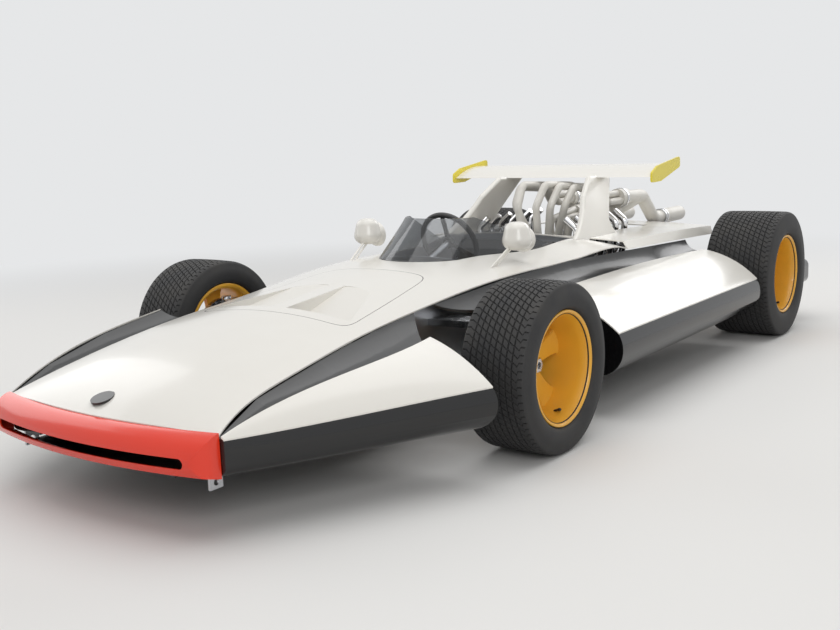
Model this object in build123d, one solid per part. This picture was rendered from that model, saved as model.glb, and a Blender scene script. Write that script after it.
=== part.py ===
from build123d import *
from math import asin, atan2, cos, degrees, hypot, radians, sin
import os

# Open-wheel racing car with wedge nose, side pods, a rear wing on two pylons and an exposed engine.
# Millimetres. +X is the car's left, the nose points to -Y, +Z is up. While the pieces are built, y is
# measured from the front axle and z from the ground. The last lines move everything so that the origin
# lies on the ground below the middle of the overall length.

# Overall layout
nose_reach = 1330
tub_rear_y = 1290
engine_length = 720
gearbox_to_axle = 389.4
tail_reach = 600
seam = 0.3
panel = 5
skin = 4
fit_gap = 0.8
trough_gap = 1.8
trough_wall = 10
trough_inset = 3
pod_inset = 14
engine_front_y = tub_rear_y + seam
wheelbase = engine_front_y + engine_length + seam + gearbox_to_axle

# Wheels and tyres
front_tyre_radius = 305
front_tyre_width = 266
front_rim_width = 236
front_rim_outer = 957
rear_tyre_radius = 328
rear_tyre_width = 348
rear_rim_width = 318
rear_rim_outer = 979
flange_radius = 206
flange_thickness = 8
bead_radius = 190
barrel_wall = 9
spoke_count = 5
spoke_reach_in = 74
star_radius = 64
spoke_root = 18
spoke_tip = 46
spoke_thickness = 24
hub_radius = 46
hub_nut_radius = 30
hub_nut_length = 34
disc_radius = 140
disc_thickness = 22
disc_clearance = 8
bearing_gap = 0.5

# Steering and suspension
kingpin_x = 715
kingpin_top = 425
kingpin_bottom = 190
ball_radius = 17
upright_thickness = 26
upright_bearing_radius = 44
arm_tube = 12
blade_root = 62
blade_tip = 27
rack_z = 330
rack_radius = 8
steering_arm = 120
rear_upright_x = 640
rear_bearing_bore = 40
shaft_radius = 17
shaft_joint_radius = 40
shaft_inner_x = 176
spring_radius = 33
damper_radius = 17

# Nose band
nose_overhang = 70
nose_top_radius = 2100
nose_half_width = 509
nose_corner = 60
mouth_length = 892
mouth_height = 32
mouth_z = 240
cap_radius = 38
cap_height = 7
cap_y = -1200

# Upper body shell: y, half width, height of the side edge, height of the crown
BODY = [
    (-1300, nose_half_width + 36, 262, 290),
    (-1200, nose_half_width - 1, 309, 357),
    (-1050, 469, 361, 409),
    (-850, 459, 405, 453),
    (-500, 446, 462, 510),
    (-150, 438, 499, 547),
    (250, 464, 541, 592),
    (620, 486, 556, 614),
    (1000, 512, 565, 620),
    (tub_rear_y + 40, 565, 567, 622),
]
body_split_y = 640

# Radiator outlets in the front body
outlet_front_y = -410
outlet_rear_y = -80
outlet_inner_x = 40
outlet_front_x = 340
outlet_rear_x = 182
outlet_depth = 62

# Cockpit
opening_front_y = 345
opening_side_y = 440
opening_side_x = 190
opening_mid_y = 900
opening_mid_x = 300
opening_rear_x = 345
opening_rear_y = 1246
screen_top_z = 762
screen_wall = 4
screen_rear_y = 1110
screen_peak_y = 640
screen_rear_z = 592

# Tub
tub_front_y = -330
tub_floor_z = 108
tub_bottom_half = 330
tub_half = 420
tub_knee_z = 168
tub_wall = 62
tub_floor = 18
dash_y = 470
dash_thickness = 10

# Undertray and radiator
tray_z = 176
tray_thickness = 6
radiator_y = -985
radiator_height = 150
radiator_half = 330
radiator_thickness = 58

# Crest of fender and pod (inner edge of the white skins) and white/black boundary
fender_gap = 95
pod_front_gap = 125
pod_rear_gap = 62
fender_rear_y = -(front_tyre_radius + fender_gap)
pod_front_y = front_tyre_radius + pod_front_gap
pod_rear_y = wheelbase - rear_tyre_radius - pod_rear_gap

# Fender: y, crest x, crest z, boundary x, boundary z, bulge, trough depth, belly z, belly setback
FENDER = [
    (-1196, nose_half_width + 5, 309, nose_half_width + 12, 301, 0.6, 2, 187, 30),
    (-1000, 568, 374, 626, 306, 5, 18, 184, 60),
    (-700, 642, 427, 769, 315, 12, 42, 179, 90),
    (fender_rear_y, 673, 465, 913, 324, 14, 56, 175, 113),
]
# Pod: the same columns
POD = [
    (pod_front_y, 640, 490, 955, 354, 24, 46, 180, 110),
    (900, 620, 490, 955, 354, 24, 28, 180, 110),
    (tub_rear_y + 310, 620, 490, 955, 354, 24, 8, 180, 110),
    (pod_rear_y, 680, 490, 955, 354, 22, 20, 180, 110),
]

# Jacking lugs below the front bumpers
lug_x = 450
lug_y = -1170
lug_z = 158
lug_thickness = 8
lug_hole = 10

# Rear deck: y, lower edge x, lower edge z, upper edge x, upper edge z, crown z
DECK = [
    (tub_rear_y + 42, 572, 562, 552, 598, 618),
    (wheelbase - 650, 584, 552, 566, 596, 612),
    (wheelbase + 130, 580, 526, 566, 566, 582),
]
deck_tail_y = wheelbase + 100
deck_corner_y = wheelbase - 180
deck_hole_half = 318
deck_hole_front = tub_rear_y + 62
deck_hole_rear = engine_front_y + engine_length + 130
deck_hole_corner = 28

# Engine and gearbox
engine_half = 165
engine_bottom_z = 118
engine_top_z = 330
bank_angle = 30
bank_width = 150
bank_height = 235
cover_height = 48
cover_width = 62
gearbox_length = 560
gearbox_half = 120

# Exhausts and intakes
cylinders_a_side = 6
cylinder_pitch = 108
first_cylinder = 92
pipe_radius = 19
merge_radius = 46
merge_pitch = 25
tail_radius = 37
tail_wall = 3
tail_clear = 530
tail_z = 596
tail_x = 165
tail_front_y = wheelbase + 260
merge_x = 150
merge_y = wheelbase - 260
merge_z = 742
low_merge_in = 48
low_merge_drop = 84
vee_port_x = 36
vee_port_z = 470
intake_radius = 17

# Wing and pylons
wing_half_span = 570
wing_front_y = wheelbase - 795
wing_front_z = 880
wing_chord = 300
wing_incidence = 10
wing_thickness = 34
plate_thickness = 10
plate_corner = 16
pylon_thickness = 30
pylon_edge = 11
pylon_front_y = tub_rear_y - 180
pylon_top_x = 256
pylon_foot_x = 362
pylon_top_z = 884
pylon_foot_z = 606

# Steering wheel and seat
steer_radius = 138
steer_rim = 12
steer_y = 700
steer_z = 640
steer_tilt = 22

# Mirrors
mirror_x = 403
mirror_y = 618
mirror_z = 690
mirror_wide = 74
mirror_crown = 46
mirror_high = 118
mirror_round = 40

# Rear bumper
bumper_front_gap = 52
bumper_half = 945
bumper_low_z = 205
bumper_high_z = 345
lamp_depth = 12
bumper_corner = 60
bumper_round = 40

pieces = {}


def mirrored(shape):
    return mirror(shape, about=Plane.YZ)


def rod(a, b, radius):
    """Round bar from point a to point b."""
    a, b = Vector(a), Vector(b)
    length = (b - a).length
    bar = Cylinder(radius, length, align=(Align.CENTER, Align.CENTER, Align.MIN))
    return Plane(origin=a, z_dir=b - a) * bar


def along_x(radius, x0, x1, y, z):
    return rod((x0, y, z), (x1, y, z), radius)


def tube_path(points, bend, radius):
    path = FilletPolyline(*points, radius=bend)
    return sweep(Plane(origin=path @ 0, z_dir=path % 0) * Circle(radius), path=path)


def block(x0, x1, y0, y1, z0, z1):
    low = (Align.MIN, Align.MIN, Align.MIN)
    return Pos(x0, y0, z0) * Box(x1 - x0, y1 - y0, z1 - z0, align=low)


def arc(a, middle, b):
    return ThreePointArc(a, middle, b)


def face_of(*edges):
    return make_face(Curve() + list(edges))


def body_edge(y):
    """Half width and height of the upper body's side edge at y, between the rows of BODY and DECK."""
    rows = [row[:3] for row in BODY] + [row[:3] for row in DECK]
    for low, high in zip(rows, rows[1:]):
        if low[0] <= y <= high[0]:
            share = (y - low[0]) / (high[0] - low[0])
            return tuple(p + (q - p) * share for p, q in zip(low[1:], high[1:]))
    return rows[-1][1:]


def body_volume(drop, rows, floor=60):
    """Solid below the upper body's outer surface, lowered by drop."""
    faces = []
    for y, half, edge, crown in rows:
        left, right, top = (-half, y, edge - drop), (half, y, edge - drop), (0, y, crown - drop)
        faces.append(face_of(
            arc(left, top, right),
            Line(right, (half, y, floor)),
            Line((half, y, floor), (-half, y, floor)),
            Line((-half, y, floor), left),
        ))
    return loft(faces)


def body_shell():
    faces = []
    for y, half, edge, crown in BODY:
        left, right, top = (-half, y, edge), (half, y, edge), (0, y, crown)
        low_left, low_right = (-half, y, edge - panel), (half, y, edge - panel)
        faces.append(face_of(
            arc(left, top, right),
            Line(right, low_right),
            arc(low_right, (0, y, crown - panel), low_left),
            Line(low_left, left),
        ))
    return loft(faces)


def cockpit_opening(z0, z1, grow=0):
    left = [(-opening_side_x - grow, opening_side_y), (-opening_mid_x - grow, opening_mid_y),
            (-opening_rear_x - grow, opening_rear_y + grow)]
    right = [(-x, y) for x, y in reversed(left)]
    outline = Curve() + [
        arc(left[0], (0, opening_front_y - grow), right[-1]),
        Polyline(*left, *right),
    ]
    return Pos(0, 0, z0) * extrude(make_face(outline), z1 - z0)


# Upper body and nose
nose_y = nose_top_radius + nose_overhang - nose_reach
under_body = body_volume(panel + fit_gap, BODY)
shell = body_shell()
nose_cylinder = Pos(0, nose_y, 0) * Cylinder(nose_top_radius - seam, 1600)
opening = cockpit_opening(430, 900)


def outlet(side):
    """Air space of one outlet and the pan around it."""
    def wedge(grow, deeper):
        faces = []
        for y, outer in ((outlet_rear_y, outlet_rear_x), (outlet_front_y, outlet_front_x)):
            floor = 552 if y == outlet_rear_y else 512 - outlet_depth
            x0, x1 = outlet_inner_x - grow, outer + grow
            corners = [(x0, y, floor - deeper), (x1, y, floor - deeper), (x1, y, 700), (x0, y, 700)]
            faces.append(make_face(Polyline(*corners, close=True)))
        return loft(faces, ruled=True)
    shapes = wedge(0, 0), wedge(skin, skin), wedge(skin + fit_gap, skin + fit_gap)
    return tuple(mirrored(shape) for shape in shapes) if side < 0 else shapes


front_body = shell & block(-700, 700, -1400, body_split_y - seam, 0, 900)
front_body = (front_body & nose_cylinder) - opening
for side in (-1, 1):
    air, pan, _ = outlet(side)
    front_body = (front_body - air) + ((pan - air) & body_volume(1, BODY))
pieces["front_body"] = front_body
pieces["cockpit_surround"] = (shell & block(-700, 700, body_split_y + seam, 1400, 0, 900)) - opening


def nose_profile(inset, open_back=0):
    """Section of the nose band in the plane x = 0, from its top rear edge round to its lower rear edge."""
    def at(reach, z):
        return (0, nose_y - nose_top_radius - reach + inset, z)
    top, lip = at(0, 319 - inset), at(66, 268 - inset)
    low, back = at(56, 200 + inset), at(0, 184 + inset)
    behind_low, behind_top = at(-open_back, 184 + inset), at(-open_back, 319 - inset)
    edges = [arc(top, at(42, 302 - inset), lip), arc(lip, at(70, 234), low), Line(low, back)]
    if open_back:
        edges += [Line(back, behind_low), Line(behind_low, behind_top), Line(behind_top, top)]
    else:
        edges += [Line(back, top)]
    return face_of(*edges)


def turned(face, half_angle):
    axis = Axis((0, nose_y, 0), (0, 0, 1))
    return revolve(face, axis, revolution_arc=2 * half_angle).rotate(axis, -half_angle)


def nose_plan(inset):
    """Upright prism over the nose's plan: arc in front, rounded corners, straight sides."""
    half, reach = nose_half_width - inset, nose_top_radius + nose_overhang - inset
    side_y = nose_y - (reach ** 2 - half ** 2) ** 0.5
    plan = make_face(Curve() + [
        arc((-half, side_y), (0, nose_y - reach), (half, side_y)),
        Polyline((half, side_y), (half, side_y + 400), (-half, side_y + 400), (-half, side_y)),
    ])
    return extrude(fillet(plan.vertices().sort_by(Axis.Y)[:2], nose_corner - inset), 600, dir=(0, 0, 1))


half_angle = degrees(asin(nose_half_width / nose_top_radius)) + 1
band = turned(nose_profile(0), half_angle) & nose_plan(0)
band -= turned(nose_profile(panel, open_back=60), half_angle) & nose_plan(panel)
mouth = Plane.XZ * Pos(0, mouth_z) * SlotOverall(mouth_length, mouth_height)
pieces["nose_band"] = band - extrude(mouth, 1500)

cap_z = 359
pieces["nose_cap"] = Pos(0, cap_y, cap_z) * Rot(16, 0, 0) * Cylinder(cap_radius, cap_height)
pieces["nose_cap"] -= body_volume(-seam, BODY)


# Fenders, bumpers, pods and troughs
def white_skin(rows):
    faces = []
    for y, cx, cz, bx, bz, bulge, *_ in rows:
        mx, mz = (cx + bx) / 2 + 0.5 * bulge, (cz + bz) / 2 + bulge
        faces.append(face_of(
            arc((cx, y, cz), (mx, y, mz), (bx, y, bz)),
            Line((bx, y, bz), (bx, y, bz - panel)),
            arc((bx, y, bz - panel), (mx, y, mz - panel), (cx, y, cz - panel)),
            Line((cx, y, cz - panel), (cx, y, cz)),
        ))
    return loft(faces)


def trough_points(row, lower):
    y, cx, cz, depth = row[0], row[1], row[2], row[6]
    ex, ez = body_edge(y)
    inner = (ex - 3, y, ez - panel - trough_gap - lower)
    outer = (cx - trough_inset, y, cz - panel - trough_gap - lower)
    middle = ((inner[0] + outer[0]) / 2, y, (inner[2] + outer[2]) / 2 - depth)
    return inner, middle, outer


def trough_skin(rows):
    faces = []
    for row in rows:
        a, m, b = trough_points(row, 0)
        c, n, d = trough_points(row, trough_wall)
        faces.append(face_of(arc(a, m, b), Line(b, d), arc(d, n, c), Line(c, a)))
    return loft(faces, ruled=True)


def trough_space(rows, inner_x):
    """Everything above the underside of the trough skin, a seam lower."""
    faces = []
    for row in rows:
        a, m, b = trough_points(row, trough_wall + seam)
        corner = (inner_x - 60, row[0], a[2])
        roof_in, roof_out = (inner_x - 60, row[0], 800), (b[0], row[0], 800)
        faces.append(face_of(arc(a, m, b), Line(b, roof_out), Line(roof_out, roof_in),
                             Line(roof_in, corner), Line(corner, a)))
    return loft(faces, ruled=True)


def black_block(rows, inner_x):
    """Crash block below the skins: side strip, rounded belly, flat bottom and inner wall."""
    faces = []
    for row in rows:
        y, cx, cz, bx, bz, bulge, depth, belly, setback = row
        swell = setback / 110
        drop = panel + seam
        mx, mz = (cx + bx) / 2 + 0.5 * bulge, (cz + bz) / 2 + bulge
        crest, edge = (cx, y, cz - drop), (bx, y, bz - drop)
        side_low = (bx + 10 * swell, y, belly + 0.38 * (bz - belly))
        bottom = (bx - setback, y, belly)
        wall = (inner_x, y, belly)
        wall_top = (inner_x, y, cz - drop)
        faces.append(face_of(
            arc(crest, (mx, y, mz - drop), edge),
            arc(edge, (bx + 17 * swell, y, (bz + side_low[2]) / 2), side_low),
            arc(side_low, (bx - 0.28 * setback, y, belly + 0.10 * (bz - belly)), bottom),
            Line(bottom, wall),
            Line(wall, wall_top),
            Line(wall_top, crest),
        ))
    return loft(faces)


def prism(points, z0=0, z1=1000):
    """Upright prism over a plan outline."""
    return Pos(0, 0, z0) * extrude(make_face(Polyline(*points, close=True)), z1 - z0, dir=(0, 0, 1))


# The troughs run on past fender and pod into the wheel bay, where a slanting edge ends them
front_end_y, rear_start_y = -168, -52
front_rows = FENDER + [(front_end_y, 700, 490, 0, 0, 0, 58)]
rear_rows = [(rear_start_y, 640, 490, 0, 0, 0, 48)] + [(y, cx - pod_inset, *rest) for y, cx, *rest in POD]
inner_front, inner_rear = tub_half - 60, tub_half + seam

white_fender = white_skin(FENDER) & nose_cylinder
white_pod = white_skin(POD)
bay_wall_front, bay_wall_rear = tub_half + 20, 600
engine_bay = prism([(0, tub_rear_y), (bay_wall_front, tub_rear_y), (bay_wall_rear, pod_rear_y),
                    (bay_wall_rear, pod_rear_y + 60), (0, pod_rear_y + 60)])
front_block = (black_block(FENDER, inner_front) & nose_cylinder) - trough_space(front_rows, inner_front)
pod_block = black_block(POD, inner_rear) - trough_space(rear_rows, inner_rear) - engine_bay

wall_x = body_edge(front_end_y)[0] - 4
front_trough = trough_skin(front_rows) & nose_cylinder
front_trough -= prism([(wall_x, front_end_y), (673, fender_rear_y), (900, fender_rear_y), (900, 0),
                       (wall_x, 0)])
wall_x = body_edge(rear_start_y)[0] - 4
rear_trough = trough_skin(rear_rows) - prism([(wall_x, rear_start_y), (640, pod_front_y), (900, pod_front_y),
                                              (900, -100), (wall_x, -100)])

for side, name in ((1, "left"), (-1, "right")):
    flip = (lambda shape: shape) if side > 0 else mirrored
    pieces[f"fender_{name}"] = flip(white_fender)
    pieces[f"side_pod_{name}"] = flip(white_pod)
pieces["front_bumpers"] = Part() + [front_block, mirrored(front_block)]
lug = block(lug_x - lug_thickness / 2, lug_x + lug_thickness / 2, lug_y - 25, lug_y + 25, lug_z - 20, 200)
lug = (lug - front_block) - along_x(lug_hole, lug_x - 20, lug_x + 20, lug_y, lug_z)
pieces["front_lugs"] = Part() + [lug, mirrored(lug)]
pieces["pod_bumpers"] = Part() + [pod_block, mirrored(pod_block)]
pieces["side_troughs"] = Part() + [front_trough, rear_trough, mirrored(front_trough), mirrored(rear_trough)]

# Tub, undertray and radiator
tub_outline = [(-tub_bottom_half, tub_floor_z), (tub_bottom_half, tub_floor_z), (tub_half, tub_knee_z),
               (tub_half, 700), (-tub_half, 700), (-tub_half, tub_knee_z)]
tub_face = make_face(Polyline(*[(x, tub_front_y, z) for x, z in tub_outline], close=True))
tub = extrude(tub_face, tub_rear_y - tub_front_y, dir=(0, 1, 0))
tub = tub & under_body
tub -= block(-tub_half + tub_wall, tub_half - tub_wall, tub_front_y + 40, opening_rear_y,
             tub_floor_z + tub_floor, 900)
tub += block(-tub_half + tub_wall, tub_half - tub_wall, dash_y, dash_y + dash_thickness, 480, 700) & under_body
for side in (-1, 1):
    tub -= outlet(side)[2]
    tub -= along_x(rack_radius + 6, side * 300, side * 500, -steering_arm, rack_z)

tray_half = tub_half - 60 - seam
pieces["undertray"] = block(-tray_half, tray_half, -1240, tub_front_y - seam, tray_z, tray_z + tray_thickness)
radiator = block(-radiator_half, radiator_half, radiator_y, radiator_y + radiator_thickness,
                 tray_z + tray_thickness, tray_z + tray_thickness + radiator_height)
pieces["radiator"] = radiator

# Rear deck
deck_faces = []
for y, lx, lz, ux, uz, crown in DECK:
    deck_faces.append(face_of(
        Line((-lx, y, lz), (-ux, y, uz)),
        arc((-ux, y, uz), (0, y, crown), (ux, y, uz)),
        Line((ux, y, uz), (lx, y, lz)),
        Line((lx, y, lz), (lx - panel, y, lz)),
        Line((lx - panel, y, lz), (ux - panel, y, uz - panel)),
        arc((ux - panel, y, uz - panel), (0, y, crown - panel), (-ux + panel, y, uz - panel)),
        Line((-ux + panel, y, uz - panel), (-lx + panel, y, lz)),
        Line((-lx + panel, y, lz), (-lx, y, lz)),
    ))
tail = make_face(Curve() + [
    arc((-900, deck_corner_y), (0, deck_tail_y), (900, deck_corner_y)),
    Polyline((900, deck_corner_y), (900, tub_rear_y), (-900, tub_rear_y), (-900, deck_corner_y)),
])
deck = loft(deck_faces) & extrude(tail, 900, dir=(0, 0, 1))
hole = RectangleRounded(2 * deck_hole_half, deck_hole_rear - deck_hole_front, deck_hole_corner)
deck -= Pos(0, (deck_hole_front + deck_hole_rear) / 2, 450) * extrude(hole, 300)
pieces["rear_deck"] = deck

deck_solid = loft([face_of(
    Line((-lx, y, 60), (-lx, y, lz + seam)),
    Line((-lx, y, lz + seam), (-ux, y, uz + seam)),
    arc((-ux, y, uz + seam), (0, y, crown + seam), (ux, y, uz + seam)),
    Line((ux, y, uz + seam), (lx, y, lz + seam)),
    Line((lx, y, lz + seam), (lx, y, 60)),
    Line((lx, y, 60), (-lx, y, 60)),
) for y, lx, lz, ux, uz, crown in DECK])

# Windscreen
def screen_strip(z, front_y, side_y, side_x, rear_x):
    rear = screen_rear_y
    w = screen_wall
    return face_of(
        Line((-rear_x, rear, z), (-side_x, side_y, z)),
        arc((-side_x, side_y, z), (0, front_y, z), (side_x, side_y, z)),
        Line((side_x, side_y, z), (rear_x, rear, z)),
        Line((rear_x, rear, z), (rear_x - w, rear, z)),
        Line((rear_x - w, rear, z), (side_x - w, side_y + w, z)),
        arc((side_x - w, side_y + w, z), (0, front_y + w, z), (-side_x + w, side_y + w, z)),
        Line((-side_x + w, side_y + w, z), (-rear_x + w, rear, z)),
        Line((-rear_x + w, rear, z), (-rear_x, rear, z)),
    )


screen = loft([
    screen_strip(560, opening_front_y - 70, opening_side_y - 10, opening_side_x + 26, opening_mid_x + 26),
    screen_strip(screen_top_z, opening_front_y + 185, opening_side_y + 165, 168, 262),
], ruled=True)
above = [(screen_peak_y, screen_top_z), (screen_rear_y, screen_rear_z), (screen_rear_y + 50, 590),
         (screen_rear_y + 50, 900), (screen_peak_y, 900)]
above = make_face(Polyline(*[(0, y, z) for y, z in above], close=True))
pieces["windscreen"] = screen - body_volume(-seam, BODY) - extrude(above, 600, both=True, dir=(1, 0, 0))

# Seat
seat_profile = [(880, 150), (860, 190), (1060, 205), (1150, 560), (1205, 600), (1235, 590), (1235, 300),
                (1120, 132), (900, 126.5)]
seat_face = make_face(Polyline(*[(0, y, z) for y, z in seat_profile], close=True))
seat = extrude(seat_face, 250, both=True, dir=(1, 0, 0))
pieces["seat"] = seat - rod((0, 812, 240), (0, 944, 700), 230)

# Engine, gearbox
engine = block(-engine_half, engine_half, engine_front_y, engine_front_y + engine_length,
               engine_bottom_z, engine_top_z)
bank = block(-bank_width / 2, bank_width / 2, engine_front_y + 20, engine_front_y + engine_length - 20,
             60, bank_height + 60)
for side in (-1, 1):
    engine += Pos(0, 0, 240) * Rot(0, side * bank_angle, 0) * bank
pieces["engine"] = engine
covers = []
for side in (-1, 1):
    for offset in (-38, 38):
        cover = block(offset - cover_width / 2 + 2, offset + cover_width / 2 - 2, engine_front_y + 30,
                      engine_front_y + engine_length - 30, bank_height + 60 + seam, bank_height + 60 + cover_height)
        covers.append(Pos(0, 0, 240) * Rot(0, side * bank_angle, 0) * cover)
pieces["cam_covers"] = Part() + covers
gearbox_y = engine_front_y + engine_length + seam
gearbox = block(-gearbox_half, gearbox_half, gearbox_y, gearbox_y + gearbox_length, 150, 400)
gearbox += along_x(shaft_joint_radius - 4, -shaft_inner_x + bearing_gap, shaft_inner_x - bearing_gap, wheelbase,
                   rear_tyre_radius)
pieces["gearbox"] = gearbox

# Exhausts
def merged(side, k):
    """Place of pipe k of three where it enters the merge, spread round the merge's centre."""
    turn = radians(90 + 120 * k)
    return (side * (merge_x + merge_pitch * cos(turn)), merge_z + merge_pitch * sin(turn))


def over_pipe(side, k):
    """Pipe of one of the three front cylinders: up from the vee, over forwards and back to the merge."""
    y = engine_front_y + first_cylinder + 70 + 0.6 * cylinder_pitch * k
    x = 52 + 46 * k
    mx, mz = merged(side, k)
    points = [(side * vee_port_x, y, vee_port_z), (side * x, y - 64, 745), (side * (x + 12), y + 10, 852 - 10 * k),
              (side * (x + 16), y + 270, 835 - 12 * k), (mx, merge_y - 190, mz), (mx, merge_y, mz)]
    return tube_path(points, 44, pipe_radius)


def low_pipe(side, k):
    """Pipe of one of the three rear cylinders: up from the vee and back to the lower merge."""
    y = engine_front_y + first_cylinder + (k + 3) * cylinder_pitch
    mx, mz = merged(side, k)
    points = [(side * vee_port_x, y, vee_port_z), (side * (60 + 16 * k), y + 30, 650 - 8 * k),
              (mx - side * low_merge_in, merge_y - 20, mz - low_merge_drop)]
    return tube_path(points, 40, pipe_radius)


exhaust_sides = []
tails = []
for side in (-1, 1):
    low_x, low_z = side * (merge_x - low_merge_in), merge_z - low_merge_drop
    manifold = rod((side * merge_x, merge_y - 40, merge_z), (side * merge_x, merge_y + 50, merge_z), merge_radius + 4)
    manifold += rod((low_x, merge_y - 60, low_z), (low_x, merge_y + 30, low_z), merge_radius)
    manifold += rod((low_x, merge_y + 24, low_z), (side * tail_x, merge_y + 190, merge_z - 14), tail_radius - 4)
    manifold += tube_path([(side * merge_x, merge_y + 40, merge_z), (side * (tail_x - 5), wheelbase, merge_z - 6),
                           (side * tail_x, wheelbase + 150, tail_z), (side * tail_x, tail_front_y, tail_z)],
                          60, tail_radius)
    for k in range(3):
        manifold += over_pipe(side, k)
        manifold += low_pipe(side, k)
    exhaust_sides.append(manifold - engine)
    tail_end_y = wheelbase + tail_clear
    pipe = rod((side * tail_x, tail_front_y + seam, tail_z), (side * tail_x, tail_end_y, tail_z), tail_radius + 6)
    pipe -= rod((side * tail_x, tail_front_y + 30, tail_z), (side * tail_x, tail_end_y + 5, tail_z),
                tail_radius + 6 - tail_wall)
    tails.append(pipe)
pieces["exhausts"] = Part() + exhaust_sides
pieces["tailpipes"] = Part() + tails

intakes = []
for side in (-1, 1):
    for k in range(cylinders_a_side):
        y = engine_front_y + first_cylinder + k * cylinder_pitch
        curl = tube_path([(side * 150, y, 395), (side * 262, y, 460), (side * 282, y, 640), (side * 222, y, 690)],
                         34, intake_radius)
        intakes.append(curl - engine)
pieces["intakes"] = Part() + intakes

# Wing
rise = wing_chord * sin(radians(wing_incidence))
run = wing_chord * cos(radians(wing_incidence))
trail = (wing_front_y + run, wing_front_z + rise)
mid_y = wing_front_y + 0.36 * run
mid_z = wing_front_z + 0.36 * rise
wing_face = face_of(
    arc((0, wing_front_y, wing_front_z), (0, mid_y, mid_z + 0.62 * wing_thickness), (0, trail[0], trail[1] + 2)),
    Line((0, trail[0], trail[1] + 2), (0, trail[0], trail[1] - 2)),
    arc((0, trail[0], trail[1] - 2), (0, mid_y, mid_z - 0.38 * wing_thickness), (0, wing_front_y, wing_front_z)),
)
pieces["wing"] = extrude(wing_face, wing_half_span, both=True, dir=(1, 0, 0))
plate_points = [(-18, -26), (-14, 24), (50, 52), (325, 88), (327, 36), (90, -24)]
plate_face = make_face(Polyline(*[(0, wing_front_y + y, wing_front_z + z) for y, z in plate_points], close=True))
plate_face = fillet(plate_face.vertices(), plate_corner)
plates = []
for side in (-1, 1):
    x = side * (wing_half_span + seam) + (0 if side > 0 else -plate_thickness)
    plates.append(Pos(x, 0, 0) * extrude(plate_face, plate_thickness, dir=(1, 0, 0)))
pieces["wing_plates"] = Part() + plates

# Pylons
lean = degrees(atan2(pylon_foot_x - pylon_top_x, pylon_top_z - pylon_foot_z))


def on_pylon(y, z):
    return (0, pylon_front_y + y, z)


pylon_face = face_of(
    Line(on_pylon(0, -60), on_pylon(0, -30)),
    arc(on_pylon(0, -30), on_pylon(190, 75), on_pylon(310, 205)),
    Line(on_pylon(310, 205), on_pylon(438, 300)),
    Line(on_pylon(438, 300), on_pylon(670, 300)),
    Line(on_pylon(670, 300), on_pylon(492, 70)),
    arc(on_pylon(492, 70), on_pylon(496, 30), on_pylon(525, 0)),
    Line(on_pylon(525, 0), on_pylon(525, -60)),
    Line(on_pylon(525, -60), on_pylon(0, -60)),
)
pylon = extrude(pylon_face, pylon_thickness / 2, both=True, dir=(1, 0, 0))
pylon = fillet(pylon.edges().filter_by(GeomType.CIRCLE) + pylon.edges().filter_by(GeomType.LINE).filter_by(
    lambda e: e.center().Z > 1 and e.length > 60 and abs(e.center().X) > 1), pylon_edge)
pylon = Pos(pylon_foot_x, 0, pylon_foot_z) * Rot(0, -lean, 0) * pylon
pylon = pylon - pieces["wing"] - body_volume(-seam, BODY) - deck_solid
pylon -= block(0, 800, tub_rear_y + 35, tub_rear_y + 47, 0, 605)
pieces["pylons"] = Part() + [pylon, mirrored(pylon)]

# Mirrors
pod = Cone(mirror_wide, mirror_crown, mirror_high)
pod = Pos(mirror_x, mirror_y, mirror_z) * fillet(pod.edges().filter_by(GeomType.CIRCLE), mirror_round)
stalks = [rod((mirror_x - 30, mirror_y - 150 + dy, 570), (mirror_x - 10, mirror_y + dy, mirror_z - 30), 5)
          for dy in (-20, 10)]
mirror_left = (pod + stalks) - body_volume(-seam, BODY)
pieces["mirrors"] = Part() + [mirror_left, mirrored(mirror_left)]

# Rear bumper and lamps
bumper_y0 = wheelbase + rear_tyre_radius + bumper_front_gap
bumper_y1 = wheelbase + tail_reach - lamp_depth
bumper = block(-bumper_half, bumper_half, bumper_y0, bumper_y1, bumper_low_z, bumper_high_z)
bumper = fillet(bumper.edges().filter_by(Axis.Z), bumper_corner)
bumper = fillet(bumper.edges().filter_by(Axis.X), bumper_round)
beam = block(-90, 90, gearbox_y + gearbox_length + seam, bumper_y0 + 10, 230, 320)
pieces["rear_bumper"] = bumper + beam
lamps = []
for side in (-1, 1):
    x0 = side * 800
    lamps.append(block(x0 - 60, x0 + 60, bumper_y1 + seam, bumper_y1 + lamp_depth, 250, 300))
pieces["tail_lamps"] = Part() + lamps

# Steering wheel and column
steer_place = Pos(0, steer_y, steer_z) * Rot(90 + steer_tilt, 0, 0)
steering_wheel = Torus(steer_radius, steer_rim) + Cylinder(26, 20)
for angle in (0, 120, 240):
    steering_wheel += Rot(0, 0, angle + 90) * Pos(steer_radius / 2, 0, 0) * Box(steer_radius, 22, 5)
pieces["steering_wheel"] = steer_place * steering_wheel
column = steer_place * Pos(0, 0, 10) * Cylinder(14, 380, align=(Align.CENTER, Align.CENTER, Align.MIN))
pieces["steering_column"] = column
pieces["tub"] = tub - (steer_place * Cylinder(14 + 0.4, 1200))
rack = along_x(rack_radius, -kingpin_x + 20, kingpin_x - 20, -steering_arm, rack_z)
pieces["steering_rack"] = rack
housing = along_x(24, -170, 170, -steering_arm, rack_z)
housing -= along_x(rack_radius + 0.4, -200, 200, -steering_arm, rack_z)
housing += block(-20, 20, -steering_arm - 20, -steering_arm + 20, tub_floor_z + tub_floor + seam, rack_z - 20)
pieces["rack_housing"] = housing


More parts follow.
